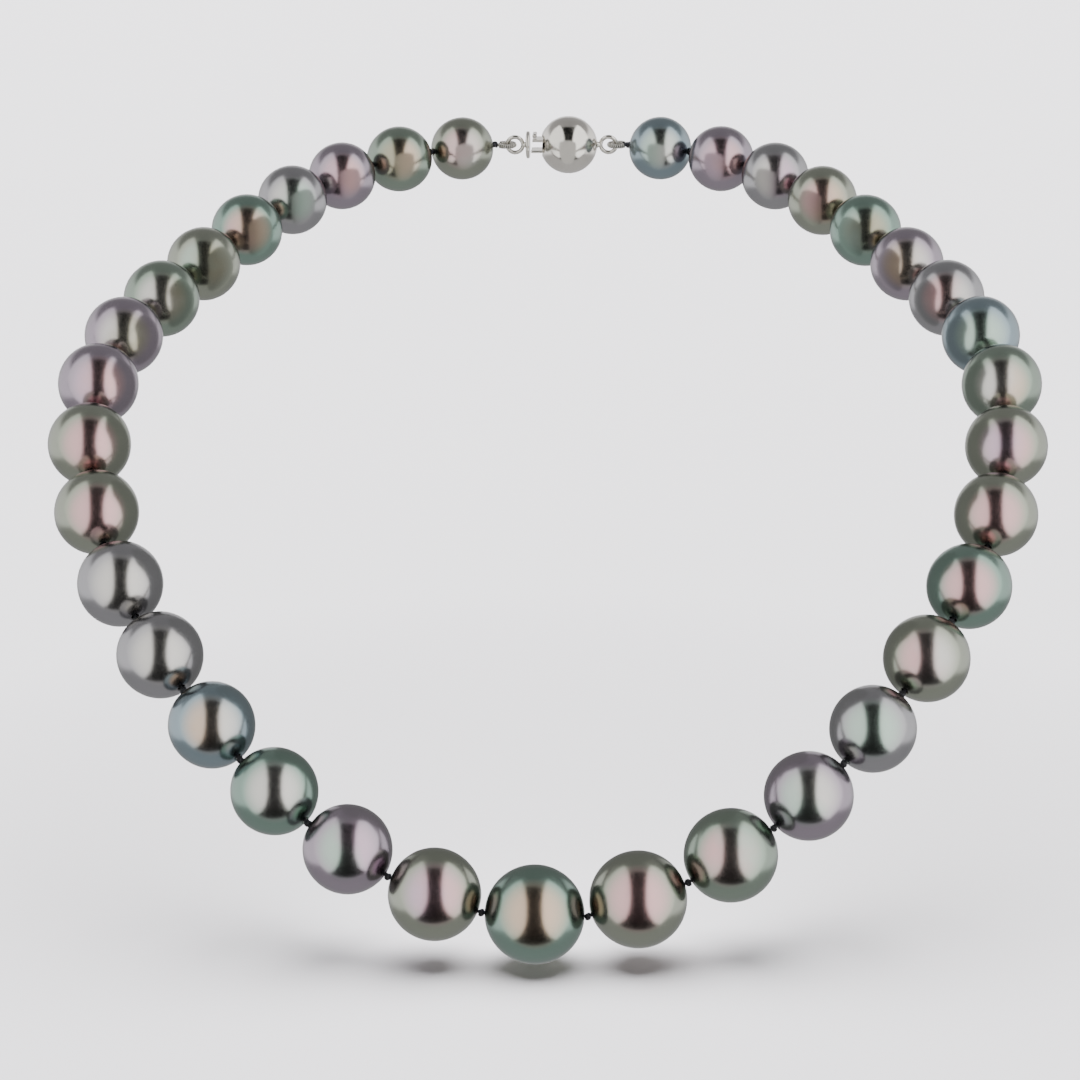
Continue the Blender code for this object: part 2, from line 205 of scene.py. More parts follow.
def pearl_rows():
    """Every pearl as (node, body, knot nearer the front, centre), from its joint and its node."""
    rows = [("pearl_front", "front", joint_place("knot_left_01"), node_points("pearl_front").mean(0))]
    for side in ("left", "right"):
        for count in range(1, PER_SIDE + 1):
            first = (side, count) == ("right", 1)
            knot = joint_place("strand_open" if first else f"knot_{side}_{count:02d}")
            node = f"pearl_{side}_{count:02d}"
            rows.append((node, f"{side}_{count:02d}", knot, node_points(node).mean(0)))
    return rows


def clasp_axes():
    """The clasp's own axes as columns, and the middle of its ball: x runs from tongue to ball."""
    size = bpy.context.scene.pearl_clasp
    tongue, ball = joint_place("tongue_link"), joint_place("ball_link")
    x = (ball - tongue) / np.linalg.norm(ball - tongue)
    z = np.array((0, 0, 1.0)) - x[2] * x
    z /= np.linalg.norm(z)
    middle = ball - x * (size.ball_ring_place + size.link_reach / 2)
    return np.stack((x, np.cross(z, x), z), axis=1), middle


def in_clasp(grid):
    axes, middle = clasp_axes()
    return grid @ axes.T + middle


# ---------------------------------------------------------------- surfaces

def smooth(share):
    """Eases a share from 0 to 1: three of its square less two of its cube."""
    return share * share * (3 - 2 * share)


def cross_frame(direction):
    """Two unit vectors that stand across a direction."""
    direction = direction / np.linalg.norm(direction)
    nearly_upright = abs(direction[2]) >= 0.9
    helper = np.array((0, 1.0, 0)) if nearly_upright else np.array((0, 0, 1.0))
    first = np.cross(helper, direction)
    first /= np.linalg.norm(first)
    return first, np.cross(direction, first)


def wrapped_faces(rows, columns, start=0):
    """A grid's point numbers, and its faces where the last row and column meet the first."""
    index = start + np.arange(rows * columns).reshape(rows, columns)
    after = np.roll(index, -1, axis=1)
    above = np.roll(index, -1, axis=0)
    return index, np.stack((index, after, np.roll(above, -1, axis=1), above), axis=-1)


def link_mesh(name, points, faces, mat):
    """A new object in the scene with one mesh and one material."""
    mesh = bpy.data.meshes.new(name)
    mesh.from_pydata(points.reshape(-1, 3).tolist(), [], faces)
    if mesh.validate():
        raise RuntimeError(f"{name} has faces that don't fit together")
    mesh.materials.append(mat)
    obj = bpy.data.objects.new(name, mesh)
    bpy.context.scene.collection.objects.link(obj)
    return obj


def add_surface(name, grids, mat, body, close_rows=True):
    """One mesh object from grids of points, each rows by columns by 3.

    Columns close on themselves. Rows close too, or their two ends are capped. Faces are turned
    outwards where the enclosed volume, a sum of corner products over the faces, is negative.
    """
    points, quads, caps, start = [], [], [], 0
    for grid in grids:
        index, faces = wrapped_faces(*grid.shape[:2], start)
        faces = (faces if close_rows else faces[:-1]).reshape(-1, 4)
        flat = grid.reshape(-1, 3)
        corners = (flat - flat.mean(0))[faces - start]
        volume = np.einsum("ij,ij->", corners[:, 0], np.cross(corners[:, 1], corners[:, 2]))
        volume += np.einsum("ij,ij->", corners[:, 0], np.cross(corners[:, 2], corners[:, 3]))
        ends = [] if close_rows else [index[0][::-1], index[-1]]
        if volume < 0:
            faces, ends = faces[:, ::-1], [end[::-1] for end in ends]
        points.append(flat)
        quads.append(faces)
        caps += [end.tolist() for end in ends]
        start += index.size
    obj = link_mesh(name, np.concatenate(points), np.concatenate(quads).tolist() + caps, mat)
    obj.data.shade_smooth()
    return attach(obj, body)


def add_attribute(obj, name, values):
    attribute = obj.data.attributes.new(name, "FLOAT", "POINT")
    attribute.data.foreach_set("value", np.asarray(values, np.float32).ravel())


def tube(path, radius, columns, closed=False):
    """A round profile carried along a path, with one radius or one for each row and column.

    Each row is a circle about a path point, across the path's direction; the circle's start is
    carried from row to row by taking out the part of it that lies along the new direction.
    """
    if closed:
        direction = np.roll(path, -1, axis=0) - np.roll(path, 1, axis=0)
    else:
        direction = np.gradient(path, axis=0)
    direction /= np.linalg.norm(direction, axis=1)[:, None]
    starts = [cross_frame(direction[0])[0]]
    for heading in direction[1:]:
        carried = starts[-1] - heading * (starts[-1] @ heading)
        starts.append(carried / np.linalg.norm(carried))
    first = np.array(starts)
    if closed:
        # the leftover turn at the seam is spread over the whole path
        last = first[-1] - direction[0] * (first[-1] @ direction[0])
        second = np.cross(direction[0], first[0])
        slip = math.atan2(last @ second, last @ first[0])
        undo = -slip * np.linspace(0, 1, len(path))[:, None]
        first = first * np.cos(undo) + np.cross(direction, first) * np.sin(undo)
    second = np.cross(direction, first)
    angle = np.linspace(0, 2 * math.pi, columns, endpoint=False)
    radius = np.broadcast_to(np.asarray(radius, float), (len(path), columns))
    return path[:, None] + radius[..., None] * (
        first[:, None] * np.cos(angle)[:, None] + second[:, None] * np.sin(angle)[:, None])


def turned(profile, columns):
    """A closed profile of (distance from the axis, place along it) turned about the local x axis."""
    angle = np.linspace(0, 2 * math.pi, columns, endpoint=False)
    out, along = profile[:, 0, None], profile[:, 1, None]
    return np.stack((along + 0 * angle, out * np.cos(angle), out * np.sin(angle)), axis=-1)


def pearl_profile(radius, hole, lip, along):
    """Half outline of a drilled ball, as (distance from the axis, place along it).

    The outside is an arc, each end rolls into the hole over a quarter round of the lip's
    radius, and a straight wall runs back through the hole.
    """
    reach = math.asin((hole + lip) / radius)
    turn = np.linspace(reach, math.pi - reach, along)
    outside = np.stack((radius * np.sin(turn), -radius * np.cos(turn)), axis=1)
    end = radius * math.cos(reach) - lip
    roll = np.linspace(math.pi / 2, math.pi, 6)[1:]
    edge = np.stack((hole + lip + lip * np.cos(roll), end + lip * np.sin(roll)), axis=1)
    wall = np.stack((np.full(6, hole), np.linspace(end, -end, 8)[1:-1]), axis=1)
    return np.concatenate((outside, edge, wall, edge[::-1] * (1, -1)))


def wander(directions, seed, count=7, low=1.3, high=4.2):
    """A smooth uneven height over a ball: a sum of sine waves, each along its own random line."""
    dice = np.random.default_rng(seed)
    lines = dice.normal(size=(count, 3))
    lines /= np.linalg.norm(lines, axis=1)[:, None]
    pace = np.linspace(low, high, count)
    waves = np.sin(directions @ (lines * pace[:, None]).T + dice.uniform(0, 2 * math.pi, count))
    return (waves / pace).sum(-1) / np.sqrt((1 / pace ** 2).sum())


def pearl_grid(centre, axis, radius, size, seed):
    """A drilled pearl: the turned profile, swollen by the wander of its direction.

    One pearl in four also has faint growth rings, a sine of the angle from its end that fades
    away from one band. The swelling fades out at the hole. Returns the grid and each point's
    direction.
    """
    profile = pearl_profile(radius, size.drill / 2, size.lip, size.along)
    local = turned(profile, size.around)
    first, second = cross_frame(axis)
    offset = local @ np.stack((axis, first, second))
    away = np.linalg.norm(offset, axis=-1, keepdims=True)
    directions = offset / away
    # no swelling nearer the axis than the first share of the radius, and all of it past their sum
    level, ease = 0.14, 0.25
    fade = smooth(np.clip((profile[:, 0] / radius - level) / ease, 0, 1))[:, None]
    swell = size.unevenness * wander(directions, seed)
    if seed % 4 == 1:
        height, pace, band, spread = 0.0011, 17, 0.75, 0.35
        from_end = np.arccos(np.clip(directions @ axis, -1, 1))
        rings = height * np.sin(from_end * pace)
        swell = swell + rings * np.exp(-((from_end - band) / spread) ** 2)
    return centre + offset * (1 + (swell * fade)[..., None]), directions


def twisted(path, size, columns=12):
    """Three silk plies along a path: a tube whose radius has three lobes that turn with length."""
    step = np.linalg.norm(np.diff(path, axis=0), axis=1)
    travel = np.concatenate(([0], np.cumsum(step)))
    angle = np.linspace(0, 2 * math.pi, columns, endpoint=False)
    lobes = np.cos(3 * (angle - 2 * math.pi * travel[:, None] / (3 * size.pitch)))
    groove = 0.09
    return tube(path, size.thread / 2 * (1 - groove + groove * lobes), columns)


def knot_path(place, along, size, seed):
    """The closed path of an overhand knot drawn tight, as a trefoil.

    Across: sin t + 2 sin 2t and cos t - 2 cos 2t; along the strand: -sin 3t. It's scaled to the
    knot's width and length less the tight silk's own thickness, and each pearl's knot is turned
    2.4 radians from the one before.
    """
    angle = np.linspace(0, 2 * math.pi, 72, endpoint=False)
    turn = seed * 2.4
    a, b = np.sin(angle) + 2 * np.sin(2 * angle), np.cos(angle) - 2 * np.cos(2 * angle)
    first, second = cross_frame(along)
    across = (size.knot_width - TIGHT * size.thread) / 6
    depth = (size.knot_length - TIGHT * size.thread) / 2
    turned_first = first * math.cos(turn) + second * math.sin(turn)
    turned_second = second * math.cos(turn) - first * math.sin(turn)
    return (place + across * (a[:, None] * turned_first + b[:, None] * turned_second)
            - depth * np.sin(3 * angle)[:, None] * along)


# ---------------------------------------------------------------- materials

def add_node(tree, kind, inputs=None, links=None, **settings):
    """Adds a node with its settings, its input values and the outputs that feed it."""
    node = tree.nodes.new(kind)
    for key, value in settings.items():
        setattr(node, key, value)
    for key, value in (inputs or {}).items():
        node.inputs[key].default_value = value
    for key, (source, output) in (links or {}).items():
        tree.links.new(source.outputs[output], node.inputs[key])
    return node


def new_material(name):
    """A material and its empty node tree, or the one made before and None."""
    mat = bpy.data.materials.get(name)
    if mat is not None:
        return mat, None
    mat = bpy.data.materials.new(name)
    mat.use_nodes = True
    mat.node_tree.nodes.clear()
    return mat, mat.node_tree


def nacre(family, left, right):
    """Dark cultured nacre, polished by growth: thin layers that reflect like a soft mirror.

    The eye gets a bright blurred reflection in the face tone, which drifts from one side of the
    pearl to the other, over a nearly black body, and a second overtone at the edge.
    """
    mat, tree = new_material(f"Dark nacre, {family} with {left} and {right}")
    if tree is None:
        return mat
    tones = bpy.context.scene.pearl_nacre
    place = add_node(tree, "ShaderNodeTexCoord")
    lean = add_node(tree, "ShaderNodeAttribute", attribute_name="lean")
    # clouds of tone about 5 mm across, as the layers thicken and thin
    clouds = add_node(tree, "ShaderNodeTexNoise",
                      {"Scale": 1 / (5 * MM), "Detail": 2.0, "Roughness": 0.45},
                      {"Vector": (place, "Object")})
    drift = add_node(tree, "ShaderNodeMapRange",
                     {"From Min": 0.3, "From Max": 0.7, "To Min": -0.35, "To Max": 0.35},
                     {"Value": (clouds, "Fac")})
    share = add_node(tree, "ShaderNodeMath", links={0: (lean, "Fac"), 1: (drift, "Result")},
                     operation="ADD", use_clamp=True)
    face = add_node(tree, "ShaderNodeMix", links={"Factor": (share, "Value")},
                    data_type="RGBA")
    face.inputs[6].default_value = getattr(tones, left)
    face.inputs[7].default_value = getattr(tones, right)
    # platelets about 0.35 mm across break up the gloss, drawn coarser than the real ones
    platelets = add_node(tree, "ShaderNodeTexNoise",
                         {"Scale": 1 / (0.35 * MM), "Detail": 3.0, "Roughness": 0.6},
                         {"Vector": (place, "Object")})
    gloss = add_node(tree, "ShaderNodeMapRange",
                     {"From Min": 0.25, "From Max": 0.75, "To Min": 0.18, "To Max": 0.25},
                     {"Value": (platelets, "Fac")})
    # swells about 2.2 mm across and a few pin pricks, 3.5 mm apart
    swells = add_node(tree, "ShaderNodeTexNoise",
                      {"Scale": 1 / (2.2 * MM), "Detail": 1.0, "Roughness": 0.4},
                      {"Vector": (place, "Object")})
    pricks = add_node(tree, "ShaderNodeTexVoronoi", {"Scale": 1 / (3.5 * MM), "Randomness": 1.0},
                      {"Vector": (place, "Object")})
    pits = add_node(tree, "ShaderNodeMapRange",
                    {"From Min": 0.0, "From Max": 0.045, "To Min": -0.5, "To Max": 0.0},
                    {"Value": (pricks, "Distance")}, interpolation_type="SMOOTHSTEP")
    relief = add_node(tree, "ShaderNodeMath", links={0: (swells, "Fac"), 1: (pits, "Result")},
                      operation="ADD")
    bump = add_node(tree, "ShaderNodeBump", {"Strength": 0.35, "Distance": 0.035 * MM},
                    {"Height": (relief, "Value")})
    fine = add_node(tree, "ShaderNodeBump", {"Strength": 0.12, "Distance": 0.004 * MM},
                    {"Height": (platelets, "Fac"), "Normal": (bump, "Normal")})
    # the clear outer layers lay a neutral haze over the toned mirror
    mirror = {"Metallic": 1.0, "Specular Tint": (0.6, 0.6, 0.6, 1),
              "Coat Weight": 0.45, "Coat Roughness": 0.3, "Coat IOR": 1.5}
    shine = {"Roughness": (gloss, "Result"), "Normal": (fine, "Normal")}
    body = add_node(tree, "ShaderNodeBsdfPrincipled", mirror, {"Base Color": (face, 2), **shine})
    overtone = add_node(tree, "ShaderNodeBsdfPrincipled",
                        {"Base Color": getattr(tones, family + "_edge"), **mirror}, shine)
    # orient: the outer layers' gloss, in the second overtone, takes over at a slant
    slant = add_node(tree, "ShaderNodeLayerWeight", {"Blend": 0.5})
    orient = add_node(tree, "ShaderNodeMapRange", {"From Min": 0.02, "From Max": 0.34},
                      {"Value": (slant, "Facing")}, interpolation_type="SMOOTHSTEP")
    shader = add_node(tree, "ShaderNodeMixShader",
                      links={0: (orient, "Result"), 1: (body, "BSDF"), 2: (overtone, "BSDF")})
    add_node(tree, "ShaderNodeOutputMaterial", links={"Surface": (shader, "Shader")})
    return mat


def silk():
    """Twisted filament silk, dyed nearly black: matt, with a thin cool sheen along the plies."""
    mat, tree = new_material("Dyed twisted silk")
    if tree is None:
        return mat
    place = add_node(tree, "ShaderNodeTexCoord")
    # filaments are far finer than a render shows, so they're drawn 0.08 mm apart
    filaments = add_node(tree, "ShaderNodeTexNoise", {"Scale": 1 / (0.08 * MM), "Detail": 2.0},
                         {"Vector": (place, "Object")})
    dye = bpy.context.scene.pearl_silk.dye
    # painted shade and highlight: the dye is darkened where the filament noise sinks and lightened where it rises,
    # from the same noise as the bump
    painted_groove_shade, painted_top_highlight = 0.55, 1.9
    shade = add_node(tree, "ShaderNodeMix", links={"Factor": (filaments, "Fac")}, data_type="RGBA")
    shade.inputs[6].default_value = [c * painted_groove_shade for c in dye[:3]] + [1]
    shade.inputs[7].default_value = [min(1, c * painted_top_highlight) for c in dye[:3]] + [1]
    bump = add_node(tree, "ShaderNodeBump", {"Strength": 0.5, "Distance": 0.02 * MM},
                    {"Height": (filaments, "Fac")})
    shader = add_node(tree, "ShaderNodeBsdfPrincipled",
                      {"Roughness": 0.62, "Sheen Weight": 0.1, "Sheen Roughness": 0.4,
                       "Sheen Tint": linear("#9aa0b4")},
                      {"Base Color": (shade, 2), "Normal": (bump, "Normal")})
    add_node(tree, "ShaderNodeOutputMaterial", links={"Surface": (shader, "BSDF")})
    return mat


def metal(name, tone, smooth, rough, mark_mm):
    """Precious metal: a mirror that handling has dulled in clouds 1.5 mm across and fine marks.

    Its roughness runs from smooth to rough. Its marks are mark_mm across and stretched along one
    slanting line.
    """
    mat, tree = new_material(name)
    if tree is None:
        return mat
    place = add_node(tree, "ShaderNodeTexCoord")
    clouds = add_node(tree, "ShaderNodeTexNoise", {"Scale": 1 / (1.5 * MM), "Detail": 3.0},
                      {"Vector": (place, "Object")})
    stretch = add_node(tree, "ShaderNodeMapping",
                       {"Scale": (0.15, 1.0, 1.0), "Rotation": (0.3, 0.2, 0.6)},
                       {"Vector": (place, "Object")})
    marks = add_node(tree, "ShaderNodeTexNoise", {"Scale": 1 / (mark_mm * MM), "Detail": 2.0},
                     {"Vector": (stretch, "Vector")})
    wear = add_node(tree, "ShaderNodeMath", links={0: (clouds, "Fac"), 1: (marks, "Fac")},
                    operation="MULTIPLY")
    gloss = add_node(tree, "ShaderNodeMapRange",
                     {"From Min": 0.1, "From Max": 0.4, "To Min": smooth, "To Max": rough},
                     {"Value": (wear, "Value")})
    dulled = 0.88
    tarnish = add_node(tree, "ShaderNodeMix", links={"Factor": (clouds, "Fac")}, data_type="RGBA")
    tarnish.inputs[6].default_value = tone
    tarnish.inputs[7].default_value = [c * dulled for c in tone[:3]] + [1]
    bump = add_node(tree, "ShaderNodeBump", {"Strength": 0.12, "Distance": 0.01 * MM},
                    {"Height": (marks, "Fac")})
    shader = add_node(tree, "ShaderNodeBsdfPrincipled", {"Metallic": 1.0},
                      {"Base Color": (tarnish, 2), "Roughness": (gloss, "Result"),
                       "Normal": (bump, "Normal")})
    add_node(tree, "ShaderNodeOutputMaterial", links={"Surface": (shader, "BSDF")})
    return mat


def white_gold():
    """Cast and hand-polished white gold under rhodium: bright, faintly warm, softly scratched."""
    return metal("Polished white gold", bpy.context.scene.pearl_clasp.gold, 0.09, 0.24, 0.12)


def bullion():
    """Fine drawn wire wound into a flexible tube: satin, with dark lines between its turns."""
    return metal("Coiled bullion wire", bpy.context.scene.pearl_clasp.gimp, 0.2, 0.36, 0.06)


def glow(name, strength, behind=1.0):
    """Cloth that glows evenly, as the tent's lamps do, or whose glow is painted brighter by a factor towards the
    nape.
    """
    mat, tree = new_material(name)
    if tree is not None:
        place = add_node(tree, "ShaderNodeTexCoord")
        parts = add_node(tree, "ShaderNodeSeparateXYZ", links={"Vector": (place, "Object")})
        # painted brighter back: the glow grows from strength to strength times behind over the sleeve's ramp; a
        # factor of one keeps it even
        level = add_node(tree, "ShaderNodeMapRange",
                         {"From Min": SLEEVE_GLOW_RAMP[0], "From Max": SLEEVE_GLOW_RAMP[1],
                          "To Min": strength, "To Max": strength * behind},
                         {"Value": (parts, "Y")}, interpolation_type="SMOOTHSTEP")
        shader = add_node(tree, "ShaderNodeEmission", {"Color": (1, 1, 1, 1)},
                          {"Strength": (level, "Result")})
        add_node(tree, "ShaderNodeOutputMaterial", links={"Surface": (shader, "Emission")})
    return mat


def studio_board():
    """Sprayed board: plain, pale and matt, with only the faintest mottle."""
    mat, tree = new_material("Matt studio board")
    if tree is None:
        return mat
    place = add_node(tree, "ShaderNodeTexCoord")
    mottle = add_node(tree, "ShaderNodeTexNoise", {"Scale": 1 / (60 * MM), "Detail": 2.0},
                      {"Vector": (place, "Object")})
    tone = bpy.context.scene.pearl_studio.board
    darker = 0.97
    shade = add_node(tree, "ShaderNodeMix", links={"Factor": (mottle, "Fac")}, data_type="RGBA")
    shade.inputs[6].default_value = [c * darker for c in tone[:3]] + [1]
    shade.inputs[7].default_value = tone
    shader = add_node(tree, "ShaderNodeBsdfPrincipled",
                      {"Roughness": 0.9, "Specular IOR Level": 0.1}, {"Base Color": (shade, 2)})
    add_node(tree, "ShaderNodeOutputMaterial", links={"Surface": (shader, "BSDF")})
    return mat


# ---------------------------------------------------------------- operators

class PEARLS_OT_pearls(bpy.types.Operator):
    """Grow every pearl over its node, with its own overtones"""
    bl_idname = "pearls.pearls"
    bl_label = "Pearls"

    def execute(self, context):
        size = context.scene.pearl_sizes
        faces = [FRONT_FACE, *LEFT_FACES, *RIGHT_FACES]
        for seed, ((node, body, knot, centre), (left, right)) in enumerate(zip(pearl_rows(), faces)):
            axis = (centre - knot) / np.linalg.norm(centre - knot)
            points = node_points(node) - centre
            radius = np.linalg.norm(points, axis=1).max()
            grid, directions = pearl_grid(centre, axis, radius, size, seed)
            slot = slot_of(node)
            mat = nacre(slot.removeprefix("nacre_"), left, right)
            pearl = add_surface(node + "_nacre", [grid], mat, body)
            # lean is 0 on the pearl's left, 1 on its right, and eased between
            add_attribute(pearl, "lean", smooth(np.clip(directions[..., 0] * 0.9 + 0.5, 0, 1)))
            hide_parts(node)
        return {"FINISHED"}


class PEARLS_OT_silk(bpy.types.Operator):
    """Run the silk through each pearl and tie a knot beyond it"""
    bl_idname = "pearls.silk"
    bl_label = "Silk thread and knots"

    def execute(self, context):
        size = context.scene.pearl_silk
        for seed, (node, body, knot, centre) in enumerate(pearl_rows()):
            far = 2 * centre - knot
            along = (far - knot) / np.linalg.norm(far - knot)
            run = knot + np.linspace(0, 1, 90)[:, None] * (far - knot)
            # a knot's silk is a little thicker than its path allows for, so its turns press together
            tied = [tube(knot_path(place, along, size, seed), size.thread * 0.43, 12, closed=True)
                    for place in ([knot, far] if body == "front" else [far])]
            name = node.replace("pearl", "silk")
            thread = add_surface(name, [twisted(run, size)], silk(), body, close_rows=False)
            knots = add_surface(name + "_knot", tied, silk(), body)
            if body == "front":
                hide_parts("silk_thread")
                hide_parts("silk_thread")
        return {"FINISHED"}


class PEARLS_OT_gimp(bpy.types.Operator):
    """Wind each gimp loop from fine wire, over the silk at the clasp's two ends"""
    bl_idname = "pearls.gimp"
    bl_label = "Gimp loops"

    def execute(self, context):
        size = context.scene.pearl_clasp
        tied = {body: 2 * centre - knot for node, body, knot, centre in pearl_rows()}
        share = np.linspace(0, 1, 12, endpoint=False)[:, None]
        for side, place, facing in (
                ("left", -(size.cap_ring_place + size.link_reach), math.pi),
                ("right", size.ball_ring_place + size.link_reach, 0)):
            body = f"{side}_{PER_SIDE:02d}"
            coil, ring, inside = self.loop(size, place, facing)
            gimp = add_surface(f"gimp_coil_{side}", [in_clasp(coil)], bullion(),
                               body, close_rows=False)
            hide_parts(f"gimp_loop_{side}")
            # the silk runs from the last knot, round inside the coil and back to the knot
            ring = in_clasp(ring)
            out, back = (tied[body] + share * (end - tied[body]) for end in (ring[0], ring[-1]))
            core = tube(np.concatenate((out, ring, back[::-1])), inside, 12)
            add_surface(f"gimp_silk_{side}", [core], silk(), body, close_rows=False)
        return {"FINISHED"}

    @staticmethod
    def loop(size, place, facing):
        """A helix carried round an open ring in the clasp's level plane.

        The ring's angle runs from just past the knot's side round to just before it. The helix
        turns once in a little more travel than the wire is thick, and the silk inside follows
        the ring. Returns the coil, the ring's path and the silk's radius.
        """
        wire = 0.15 * size.gimp_wire  # the fine wire's radius
        mouth = 0.55  # half the angle left open towards the knot
        advance = 2.15 * wire
        per_turn = 14
        turns = int(size.gimp_radius * (2 * math.pi - 2 * mouth) / advance)
        share = np.linspace(0, 1, turns * per_turn + 1)
        angle = facing + mouth + share * 2 * (math.pi - mouth)
        outwards = np.stack((np.cos(angle), np.sin(angle), 0 * angle), axis=1)
        ring = outwards * size.gimp_radius + (place, 0, 0)
        wound = 2 * math.pi * turns * share
        reach = size.gimp_wire / 2 - wire
        path = ring + reach * (outwards * np.cos(wound)[:, None]
                               + np.array((0, 0, 1.0)) * np.sin(wound)[:, None])
        return tube(path, wire, 6), ring[::per_turn], reach - wire * 1.05


class PEARLS_OT_clasp(bpy.types.Operator):
    """Make the clasp's ball, cap and rings smooth, and polish the tongue and its spring"""
    bl_idname = "pearls.clasp"
    bl_label = "Ball clasp"

    def execute(self, context):
        size = context.scene.pearl_clasp
        gold = white_gold()
        ball = add_surface("clasp_ball_shell", [in_clasp(self.shell(size))], gold,
                           "ball")
        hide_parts("clasp_ball")
        cap = add_surface("tongue_cap_plate", [in_clasp(self.plate(size))], gold,
                          "tongue", close_rows=False)
        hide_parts("tongue_cap")
        for name, node, place, base, body in (
                ("ball_ring_wire", "ball_ring", size.ball_ring_place, size.ball / 2, "ball"),
                ("tongue_ring_wire", "tongue_ring", -size.cap_ring_place,
                 -(size.cap_place + size.cap / 2), "tongue")):
            ring, solder = self.ring(size, place, base)
            wire = add_surface(name, [in_clasp(ring)], gold, body)
            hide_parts(node)
            add_surface(name.replace("wire", "solder"), [in_clasp(solder)], gold,
                        body, close_rows=False)
        for node in ("tongue_strip", "spring_leaf", "thumb_tab"):
            data = frame["nodes"][node].data
            data.materials.clear()
            data.materials.append(gold)
        return {"FINISHED"}

    @staticmethod
    def shell(size):
        """A hollow ball with a slot.

        Each column runs from the far pole over the outside to the slot, round its lip, and back
        inside. The slot's edge is a squared oval: in each column's direction, the distance at
        which (y / half width) to the sixth plus (z / half height) to the sixth is one. A seam
        0.03 mm deep rings the middle, where the two halves were soldered.
        """
        outer, inner = size.ball / 2, size.ball / 2 - size.wall
        angle = np.linspace(0, 2 * math.pi, 144, endpoint=False)
        half_width, half_height = size.mouth_width / 2, size.mouth_height / 2
        edge = (np.abs(np.cos(angle) / half_width) ** 6
                + np.abs(np.sin(angle) / half_height) ** 6) ** (-1 / 6)
        share = np.linspace(0, 1, 72)[:, None]
        pole = 0.004  # angle of the first row from the far pole
        lip = 0.1 * MM
        seam_width = 0.018
        outside = pole + share * (math.pi - np.arcsin((edge + lip) / outer) - pole)
        inside = pole + share[::-1] * (math.pi - np.arcsin((edge + lip) / inner) - pole)
        seam = 0.03 * MM * np.exp(-((outside - math.pi / 2) / seam_width) ** 2)
        out_radius, out_along = (outer - seam) * np.sin(outside), (outer - seam) * np.cos(outside)
        in_radius, in_along = inner * np.sin(inside), inner * np.cos(inside)
        # the lip bows towards the slot by its own radius, as half a wave across the wall
        across = np.linspace(0, 1, 9)[1:-1, None]
        lip_radius = out_radius[-1] + across * (in_radius[0] - out_radius[-1])
        lip_radius = lip_radius - lip * np.sin(across * math.pi)
        lip_along = out_along[-1] + across * (in_along[0] - out_along[-1])
        radius = np.concatenate((out_radius, lip_radius, in_radius))
        along = np.concatenate((out_along, lip_along, in_along))
        return np.stack((along, radius * np.cos(angle), radius * np.sin(angle)), axis=-1)

    @staticmethod
    def plate(size):
        """A turned plate: a flat inner face, a rounded rim, and an outer face domed by 0.12 mm."""
        half, rim = size.cap / 2, 0.18 * MM
        reach = size.cap_radius - rim
        hub = 0.02  # the share of the reach that each face's cap fills
        inner_face = np.stack((np.linspace(hub, 1, 12) * reach, np.full(12, half)), axis=1)
        roll = np.linspace(math.pi / 2, -math.pi / 2, 10)[1:-1]
        edge = np.stack((reach + rim * np.cos(roll), half * np.sin(roll)), axis=1)
        out = np.linspace(1, hub, 18)
        dome = np.stack((out * reach, -half - 0.12 * MM * (1 - out ** 2)), axis=1)
        grid = turned(np.concatenate((inner_face, edge, dome)), 72)
        grid[..., 0] -= size.cap_place
        return grid

    @staticmethod
    def ring(size, place, base):
        """An upright ring of round wire, and the solder that fills its foot.

        The solder is a round pad. Its radius falls from 0.92 of the wire's thickness at its base
        to half of it at the wire, as one less a quarter of a sine wave. It starts and ends a
        little inside what it joins.
        """
        angle = np.linspace(0, 2 * math.pi, 96, endpoint=False)
        path = np.stack((place + size.ring_radius * np.cos(angle), 0 * angle,
                         size.ring_radius * np.sin(angle)), axis=1)
        wire = tube(path, size.ring_wire / 2, 28, closed=True)
        foot = place - math.copysign(size.ring_radius, place)
        share = np.linspace(0, 1, 14)
        sink = math.copysign(0.08 * MM, place)
        along = base + share * (foot - base) + sink * (share - 0.6)
        width = size.ring_wire * (0.5 + 0.42 * (1 - np.sin(share * math.pi / 2)))
        return wire, turned(np.stack((width, along), axis=1), 40)


